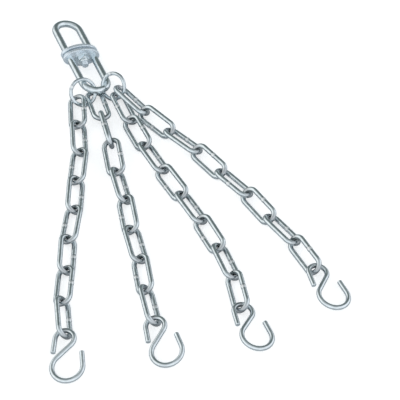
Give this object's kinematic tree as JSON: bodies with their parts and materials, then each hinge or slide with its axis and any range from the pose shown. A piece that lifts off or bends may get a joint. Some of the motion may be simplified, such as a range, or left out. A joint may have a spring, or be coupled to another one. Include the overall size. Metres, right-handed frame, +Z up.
{
  "type": "four leg chain sling",
  "caption": "Chain sling with a swivel under a hanging loop, rings and legs of long links that end in S-hooks, for hanging a load by its corners.",
  "frame": {"origin": "centre of the bend of the upper loop, where the sling hangs", "axes": "+Y up along the swivel axis from the legs to the upper loop, +X to the right of it, +Z up from the surface the sling lies on"},
  "size_m": [0.2434, 0.3977, 0.0211],
  "materials": {
    "zinc": "satin, bluish zinc plating",
    "bright_zinc": "bright zinc plating"
  },
  "bodies": {
    "hanger": {"upper_loop": "zinc", "upper_plate": "zinc", "swivel_bolt": "zinc", "thrust_washer": "bright_zinc", "nut_washer": "bright_zinc", "lock_nut": "bright_zinc"},
    "lower_swivel": {"lower_plate": "zinc", "lower_loop": "zinc"},
    "ring_left": {"ring_left": "bright_zinc"},
    "ring_right": {"ring_right": "bright_zinc"},
    "leg1_link1": {"leg1_link1": "zinc"},
    "leg1_link2": {"leg1_link2": "zinc"},
    "leg1_link3": {"leg1_link3": "zinc"},
    "leg1_link4": {"leg1_link4": "zinc"},
    "leg1_link5": {"leg1_link5": "zinc"},
    "leg1_link6": {"leg1_link6": "zinc"},
    "leg1_link7": {"leg1_link7": "zinc"},
    "leg1_link8": {"leg1_link8": "zinc"},
    "hook1": {"hook1": "bright_zinc"},
    "leg2_link1": {"leg2_link1": "zinc"},
    "leg2_link2": {"leg2_link2": "zinc"},
    "leg2_link3": {"leg2_link3": "zinc"},
    "leg2_link4": {"leg2_link4": "zinc"},
    "leg2_link5": {"leg2_link5": "zinc"},
    "leg2_link6": {"leg2_link6": "zinc"},
    "leg2_link7": {"leg2_link7": "zinc"},
    "leg2_link8": {"leg2_link8": "zinc"},
    "hook2": {"hook2": "bright_zinc"},
    "leg3_link1": {"leg3_link1": "zinc"},
    "leg3_link2": {"leg3_link2": "zinc"},
    "leg3_link3": {"leg3_link3": "zinc"},
    "leg3_link4": {"leg3_link4": "zinc"},
    "leg3_link5": {"leg3_link5": "zinc"},
    "leg3_link6": {"leg3_link6": "zinc"},
    "leg3_link7": {"leg3_link7": "zinc"},
    "leg3_link8": {"leg3_link8": "zinc"},
    "hook3": {"hook3": "bright_zinc"},
    "leg4_link1": {"leg4_link1": "zinc"},
    "leg4_link2": {"leg4_link2": "zinc"},
    "leg4_link3": {"leg4_link3": "zinc"},
    "leg4_link4": {"leg4_link4": "zinc"},
    "leg4_link5": {"leg4_link5": "zinc"},
    "leg4_link6": {"leg4_link6": "zinc"},
    "leg4_link7": {"leg4_link7": "zinc"},
    "leg4_link8": {"leg4_link8": "zinc"},
    "hook4": {"hook4": "bright_zinc"}
  },
  "joints": [
    {"name": "swivel_turn", "type": "hinge", "parent": "hanger", "child": "lower_swivel", "pos_m": [0, 0, 0], "axis": [0, 1, 0], "continuous": true},
    {"name": "ring_left_swing", "type": "hinge", "parent": "lower_swivel", "child": "ring_left", "pos_m": [-0.00263, -0.07987, 0.00065], "axis": [-0.9415, 0.2419, 0.2347], "range_deg": [-3, 4]},
    {"name": "ring_right_swing", "type": "hinge", "parent": "lower_swivel", "child": "ring_right", "pos_m": [0.01016, -0.07297, -0.00253], "axis": [0.3438, 0.9351, -0.0857], "range_deg": [-30, 2]},
    {"name": "leg1_joint1", "type": "hinge", "parent": "ring_left", "child": "leg1_link1", "pos_m": [-0.02144, -0.08265, -0.00508], "axis": [0.6907, -0.3995, -0.6027], "range_deg": [-25, 45]},
    {"name": "leg1_joint2", "type": "hinge", "parent": "leg1_link1", "child": "leg1_link2", "pos_m": [-0.03027, -0.10983, -0.00405], "axis": [-0.8733, 0.2684, -0.4065], "range_deg": [-10, 15]},
    {"name": "leg1_joint3", "type": "hinge", "parent": "leg1_link2", "child": "leg1_link3", "pos_m": [-0.03982, -0.14016, -0.00405], "axis": [0.7517, -0.2366, -0.6157], "range_deg": [-7, 45]},
    {"name": "leg1_joint4", "type": "hinge", "parent": "leg1_link3", "child": "leg1_link4", "pos_m": [-0.05341, -0.16891, -0.00405], "axis": [0.7982, -0.3774, 0.4695], "range_deg": [-20, 35]},
    {"name": "leg1_joint5", "type": "hinge", "parent": "leg1_link4", "child": "leg1_link5", "pos_m": [-0.06609, -0.19807, -0.00405], "axis": [-0.7226, 0.3143, 0.6157], "range_deg": [-40, 17]},
    {"name": "leg1_joint6", "type": "hinge", "parent": "leg1_link5", "child": "leg1_link6", "pos_m": [-0.08106, -0.22613, -0.00405], "axis": [0.779, -0.4156, 0.4695], "range_deg": [-13, 40]},
    {"name": "leg1_joint7", "type": "hinge", "parent": "leg1_link6", "child": "leg1_link7", "pos_m": [-0.0935, -0.2554, -0.00405], "axis": [-0.7253, 0.3082, 0.6157], "range_deg": [-35, 20]},
    {"name": "leg1_joint8", "type": "hinge", "parent": "leg1_link7", "child": "leg1_link8", "pos_m": [-0.10659, -0.28436, -0.00309], "axis": [0.8104, -0.3508, 0.4693], "range_deg": [-45, 45]},
    {"name": "hook1_swing", "type": "hinge", "parent": "leg1_link8", "child": "hook1", "pos_m": [-0.11536, -0.31493, -0.00309], "axis": [-0.6179, 0.1772, 0.766], "range_deg": [-7, 25]},
    {"name": "leg2_joint1", "type": "hinge", "parent": "ring_left", "child": "leg2_link1", "pos_m": [-0.00439, -0.07984, -0.00565], "axis": [-0.5638, -0.6063, -0.5609], "range_deg": [-6, 3]},
    {"name": "leg2_joint2", "type": "hinge", "parent": "leg2_link1", "child": "leg2_link2", "pos_m": [-0.00792, -0.1108, -0.00178], "axis": [0.9886, -0.1234, -0.0865], "range_deg": [-45, 45]},
    {"name": "leg2_joint3", "type": "hinge", "parent": "leg2_link2", "child": "leg2_link3", "pos_m": [-0.01243, -0.14228, -0.00178], "axis": [-0.2395, 0.0343, 0.9703], "range_deg": [-15, 20]},
    {"name": "leg2_joint4", "type": "hinge", "parent": "leg2_link3", "child": "leg2_link4", "pos_m": [-0.01902, -0.17335, -0.00339], "axis": [-0.9157, 0.2118, -0.3416], "range_deg": [-45, 8]},
    {"name": "leg2_joint5", "type": "hinge", "parent": "leg2_link4", "child": "leg2_link5", "pos_m": [-0.02341, -0.20484, -0.00339], "axis": [0.688, -0.0961, -0.7193], "range_deg": [-45, 45]},
    {"name": "leg2_joint6", "type": "hinge", "parent": "leg2_link5", "child": "leg2_link6", "pos_m": [-0.03007, -0.23592, -0.00423], "axis": [-0.7878, 0.1847, -0.5876], "range_deg": [-40, 14]},
    {"name": "leg2_joint7", "type": "hinge", "parent": "leg2_link6", "child": "leg2_link7", "pos_m": [-0.03472, -0.26738, -0.00423], "axis": [-0.8567, 0.1265, 0.5], "range_deg": [-40, 10]},
    {"name": "leg2_joint8", "type": "hinge", "parent": "leg2_link7", "child": "leg2_link8", "pos_m": [-0.0418, -0.29837, -0.00339], "axis": [0.7922, -0.165, 0.5876], "range_deg": [-45, 45]},
    {"name": "hook2_swing", "type": "hinge", "parent": "leg2_link8", "child": "hook2", "pos_m": [-0.04704, -0.32974, -0.00339], "axis": [0.6851, -0.1147, -0.7193], "range_deg": [-25, 5]},
    {"name": "leg3_joint1", "type": "hinge", "parent": "ring_right", "child": "leg3_link1", "pos_m": [0.01393, -0.09015, -0.00476], "axis": [0.7108, -0.278, 0.6461], "range_deg": [-45, 4]},
    {"name": "leg3_joint2", "type": "hinge", "parent": "leg3_link1", "child": "leg3_link2", "pos_m": [0.01337, -0.12184, -0.00451], "axis": [0.8658, -0.019, -0.5], "range_deg": [-25, 8]},
    {"name": "leg3_joint3", "type": "hinge", "parent": "leg3_link2", "child": "leg3_link3", "pos_m": [0.01447, -0.15362, -0.00451], "axis": [0.8382, 0.029, 0.5446], "range_deg": [-17, 40]},
    {"name": "leg3_joint4", "type": "hinge", "parent": "leg3_link3", "child": "leg3_link4", "pos_m": [0.01799, -0.18523, -0.00451], "axis": [0.8335, 0.0927, -0.5446], "range_deg": [-35, 25]},
    {"name": "leg3_joint5", "type": "hinge", "parent": "leg3_link4", "child": "leg3_link5", "pos_m": [0.02247, -0.21671, -0.00451], "axis": [-0.8303, -0.1182, -0.5446], "range_deg": [-25, 30]},
    {"name": "leg3_joint6", "type": "hinge", "parent": "leg3_link5", "child": "leg3_link6", "pos_m": [0.02648, -0.24826, -0.00451], "axis": [-0.832, -0.1058, 0.5446], "range_deg": [-35, 15]},
    {"name": "leg3_joint7", "type": "hinge", "parent": "leg3_link6", "child": "leg3_link7", "pos_m": [0.02857, -0.27999, -0.00451], "axis": [0.8369, 0.0552, 0.5446], "range_deg": [-40, 17]},
    {"name": "leg3_joint8", "type": "hinge", "parent": "leg3_link7", "child": "leg3_link8", "pos_m": [0.02729, -0.31175, -0.00371], "axis": [0.8374, -0.0474, -0.5445], "range_deg": [-45, 45]},
    {"name": "hook3_swing", "type": "hinge", "parent": "leg3_link8", "child": "hook3", "pos_m": [0.02123, -0.34297, -0.00371], "axis": [0.7295, -0.1418, 0.6691], "range_deg": [-7, 9]},
    {"name": "leg4_joint1", "type": "hinge", "parent": "ring_right", "child": "leg4_link1", "pos_m": [0.01822, -0.0902, 0.00019], "axis": [0.543, 0.2611, 0.7981], "range_deg": [-3, 45]},
    {"name": "leg4_joint2", "type": "hinge", "parent": "leg4_link1", "child": "leg4_link2", "pos_m": [0.02888, -0.11726, -0.00414], "axis": [0.7312, 0.3788, -0.5673], "range_deg": [-35, 35]},
    {"name": "leg4_joint3", "type": "hinge", "parent": "leg4_link2", "child": "leg4_link3", "pos_m": [0.04044, -0.14688, -0.00414], "axis": [-0.744, -0.2903, -0.6018], "range_deg": [-35, 20]},
    {"name": "leg4_joint4", "type": "hinge", "parent": "leg4_link3", "child": "leg4_link4", "pos_m": [0.0534, -0.17592, -0.00414], "axis": [-0.7987, -0.3565, 0.4848], "range_deg": [-45, 5]},
    {"name": "leg4_joint5", "type": "hinge", "parent": "leg4_link4", "child": "leg4_link5", "pos_m": [0.06254, -0.20638, -0.00414], "axis": [-0.7649, -0.2296, -0.6018], "range_deg": [-35, 20]},
    {"name": "leg4_joint6", "type": "hinge", "parent": "leg4_link5", "child": "leg4_link6", "pos_m": [0.07304, -0.2364, -0.00414], "axis": [-0.8256, -0.2887, 0.4848], "range_deg": [-45, 4]},
    {"name": "leg4_joint7", "type": "hinge", "parent": "leg4_link6", "child": "leg4_link7", "pos_m": [0.07952, -0.26753, -0.00414], "axis": [0.7819, 0.1628, 0.6018], "range_deg": [-15, 35]},
    {"name": "leg4_joint8", "type": "hinge", "parent": "leg4_link7", "child": "leg4_link8", "pos_m": [0.0873, -0.29835, -0.00339], "axis": [0.8508, 0.203, -0.4847], "range_deg": [-45, 45]},
    {"name": "hook4_swing", "type": "hinge", "parent": "leg4_link8", "child": "hook4", "pos_m": [0.0909, -0.32995, -0.00339], "axis": [-0.6902, -0.0786, -0.7193], "range_deg": [-4, 25]}
  ]
}
